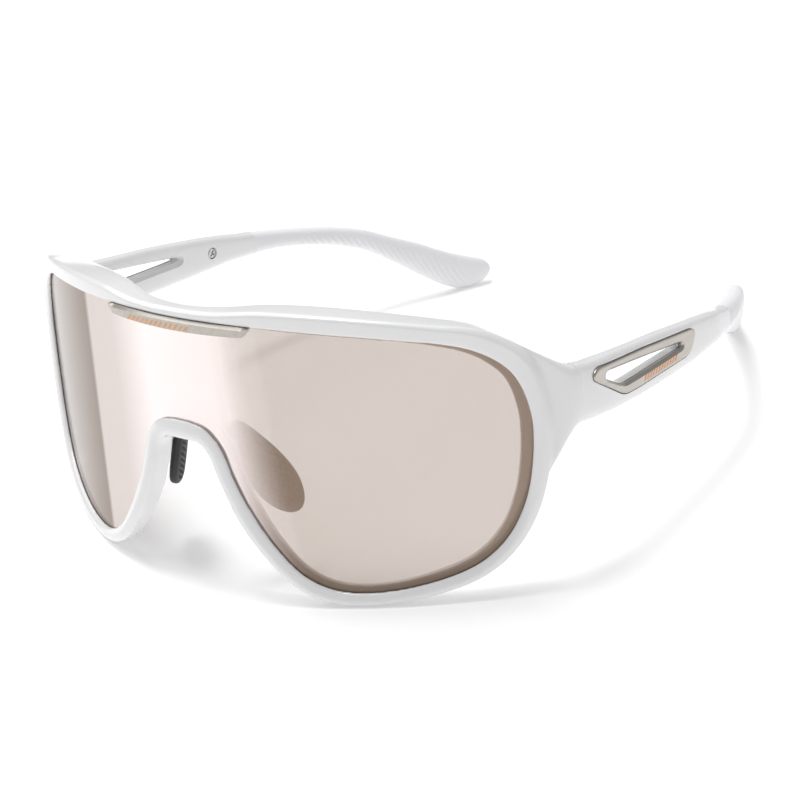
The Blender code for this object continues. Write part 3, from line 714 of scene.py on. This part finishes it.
def trim_marks():
    """A row of slanted bars along the ring's lower side."""
    points, faces = [], []
    count, pitch = 12, 1.15
    for k in range(count):
        y = 58.5 + k * pitch
        mid = 33.05 - 0.085 * (y - 58.5)
        rings = [[(ring_face(y) + RING_PROUD + f, y + a * 0.3 + b * 0.35, mid + b * 0.55)
                  for a, b in ((-1, -1), (1, -1), (1, 1), (-1, 1))] for f in (-0.15, 0.04)]
        more, skin = loft(rings)
        faces += [tuple(len(points) + i for i in face) for face in skin]
        points += more
    return shape("trim_marks", points, faces)


def ear_tip():
    """The soft tip: one lofted skin with swept grip ribs on its inner face."""
    steps = 36
    rows = curve(EAR_TIP, steps)
    rings = []
    for i, (x, y, thick, low, high) in enumerate(rows):
        ahead, behind = rows[min(i + 1, len(rows) - 1)], rows[max(i - 1, 0)]
        way = Vector((ahead[0] - behind[0], ahead[1] - behind[1], 0)).normalized()
        out = Vector((way.y, -way.x, 0)) if i else Vector((1, 0, 0))
        ring = []
        for a, b in rounded(thick / 2, (high - low) / 2, 2.5, 72):
            v = b / ((high - low) / 2)
            ends = max(0.0, min(1.0, (y - RIB_FROM) / 6, (RIB_TO - y) / 2)) * max(0.0, 1 - abs(v) ** 6)
            phase = (y * 1.35 - RIB_SWEEP * (1 - v) ** 2 / 4 * min(1.0, (high - low) / 9)) / RIB_PITCH
            rib = RIB_DEPTH * ends * (0.5 + 0.5 * sin(2 * pi * phase)) if a < -thick * 0.28 else 0.0
            ring.append(Vector((x, y, (low + high) / 2 + b)) + out * (a + rib))
        rings.append(ring)
    return shape("ear_tip", *loft(rings))


def cross_screw(start, way, shank, radius, head_radius, head):
    """A machine screw with a chamfered head and a crossed recess."""
    way = Vector(way).normalized()
    screw = shape("screw", *loft(disc(start, way, (
        (0, radius), (shank, radius), (shank, head_radius), (shank + head * 0.6, head_radius),
        (shank + head, head_radius * 0.82)))))
    across = way.orthogonal().normalized()
    other = way.cross(across)
    top = Vector(start) + way * (shank + head * 0.35)
    for a, b in ((across, other), (other, across)):
        long, wide = head_radius * 0.62, head_radius * 0.15
        cut(screw, *bar(top - a * long - b * wide, (a * 2 * long, b * 2 * wide, way * head)))
    return screw


def temples(looks):
    pieces = [
        (temple_shell(), "frame_white", "frame_white", "temple_", 35),
        (trim_ring(), "champagne_metal", "champagne", "temple_trim_", 18),
        (trim_marks(), "champagne_metal", "rose", None, 35),
        (ear_tip(), "tip_white", "tip", "ear_tip_", 60),
        (cross_screw((69.75, SCREW_Y, SCREW_Z), (-1, 0, 0), 2.05, SCREW_R, SCREW_HEAD_R, 0.55),
         "hinge_steel", "steel", "tip_screw_", 30),
    ]
    for piece, slot, look, node, sharp in pieces:
        base = piece.name
        other = mirrored(piece, base + "_right_look")
        piece.name = base + "_left_look"
        for obj, side, word in ((piece, 1, "left"), (other, -1, "right")):
            finish(obj, "temple_" + word, looks[look], [node + word] if node else (), side, sharp)


# ---------------------------------------------------------------- stage

def stage():
    bpy.context.scene.view_settings.view_transform = "Standard"
    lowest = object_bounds()[0][2]
    size = 3.0
    mesh = bpy.data.meshes.new("floor")
    corners = [(-size, -size, 0), (size, -size, 0), (size, size, 0), (-size, size, 0)]
    mesh.from_pydata(corners, [], [(0, 1, 2, 3)])
    floor = bpy.data.objects.new("floor", mesh)
    floor.location.z = lowest
    bpy.context.scene.collection.objects.link(floor)
    look, tree, shader = nodes_of("floor_white")
    tree.links.new(ramp(tree, noise(tree, 3.0), [(0.3, (0.93, 0.93, 0.93, 1)), (0.7, (0.94, 0.94, 0.94, 1))]),
                   shader.inputs["Base Color"])
    shader.inputs["Roughness"].default_value = 0.9
    shader.inputs["Specular IOR Level"].default_value = 0.1
    shader.inputs["Emission Color"].default_value = (1, 1, 1, 1)
    shader.inputs["Emission Strength"].default_value = 0.2
    mesh.materials.append(look)
    floor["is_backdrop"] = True

    world = bpy.data.worlds.new("studio")
    world.use_nodes = True
    world.node_tree.nodes["Background"].inputs["Color"].default_value = (1, 1, 1, 1)
    world.node_tree.nodes["Background"].inputs["Strength"].default_value = 0.37
    bpy.context.scene.world = world
    for name, place, size, power in (
        ("key", (-0.25, 0.0, 2.2), 0.5, 15.0),
        ("top", (-1.0, 0.1, 2.0), 2.2, 29.0),
    ):
        lamp = bpy.data.lights.new(name, "AREA")
        lamp.size, lamp.energy = size, power
        obj = bpy.data.objects.new(name, lamp)
        obj.location = place
        obj.rotation_euler = (Vector((0, 0, 0.03)) - obj.location).to_track_quat("-Z", "Y").to_euler()
        bpy.context.scene.collection.objects.link(obj)


def camera():
    a, e, r = AZIMUTH, ELEVATION, ROLL
    level = Vector((cos(a), sin(a), 0))
    rise = Vector((-sin(a) * sin(e), cos(a) * sin(e), cos(e)))
    ahead = Vector((-sin(a) * cos(e), cos(a) * cos(e), -sin(e)))
    up, right = rise * cos(r) + level * sin(r), level * cos(r) - rise * sin(r)
    lens = bpy.data.cameras.new("camera")
    lens.lens, lens.sensor_width, lens.clip_start = FOCAL, 36.0, 0.01
    obj = bpy.data.objects.new("camera", lens)
    obj.matrix_world = Matrix((right, up, -ahead)).transposed().to_4x4()
    obj.location = CAMERA_AT
    bpy.context.scene.collection.objects.link(obj)
    bpy.context.scene.camera = obj


STEEL_EDGE = 0.00006   # in metres: the bevel that breaks the edges of the hinge steel


def steel_parts(frame, look):
    """The hinge leaves, screws and tip cores keep their CAD shape, with edges broken."""
    for name, node in frame["nodes"].items():
        if any(word in name for word in ("leaf", "hinge_screw", "tip_core")):
            node.data.materials.clear()
            node.data.materials.append(look)
            edge = node.modifiers.new("edge", "BEVEL")
            edge.width, edge.segments, edge.limit_method = STEEL_EDGE, 2, "ANGLE"


def main():
    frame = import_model()
    camera()
    looks = {
        "frame_white": plastic("gloss_white", (0.89, 0.89, 0.90, 1), (0.91, 0.91, 0.92, 1),
                               (0.14, 0.2), 0.5, 4000, 2e-6),
        "tip": plastic("soft_white", (0.89, 0.89, 0.91, 1), (0.92, 0.92, 0.94, 1),
                       (0.42, 0.52), 0.0, 6000, 8e-6),
        "pad": plastic("pad_rubber", (0.006, 0.008, 0.008, 1), (0.011, 0.013, 0.013, 1),
                       (0.46, 0.58), 0.0, 5000, 8e-6),
        "champagne": metal("champagne_satin", (0.46, 0.43, 0.39, 1), (0.54, 0.51, 0.47, 1),
                           (0.26, 0.36), (1, 0.06, 1)),
        "rose": metal("rose_gold", (0.60, 0.31, 0.15, 1), (0.70, 0.38, 0.21, 1), (0.3, 0.4), (1, 1, 1)),
        "steel": metal("hinge_steel_look", (0.50, 0.50, 0.51, 1), (0.60, 0.60, 0.61, 1),
                       (0.28, 0.38), (1, 1, 0.1)),
    }
    front_shell(looks["frame_white"])
    shield(mirror_lens_painted_light())
    badge(looks["champagne"], looks["rose"])
    nose_pad(1, "left", looks["pad"])
    nose_pad(-1, "right", looks["pad"])
    temples(looks)
    steel_parts(frame, looks["steel"])
    stage()


main()
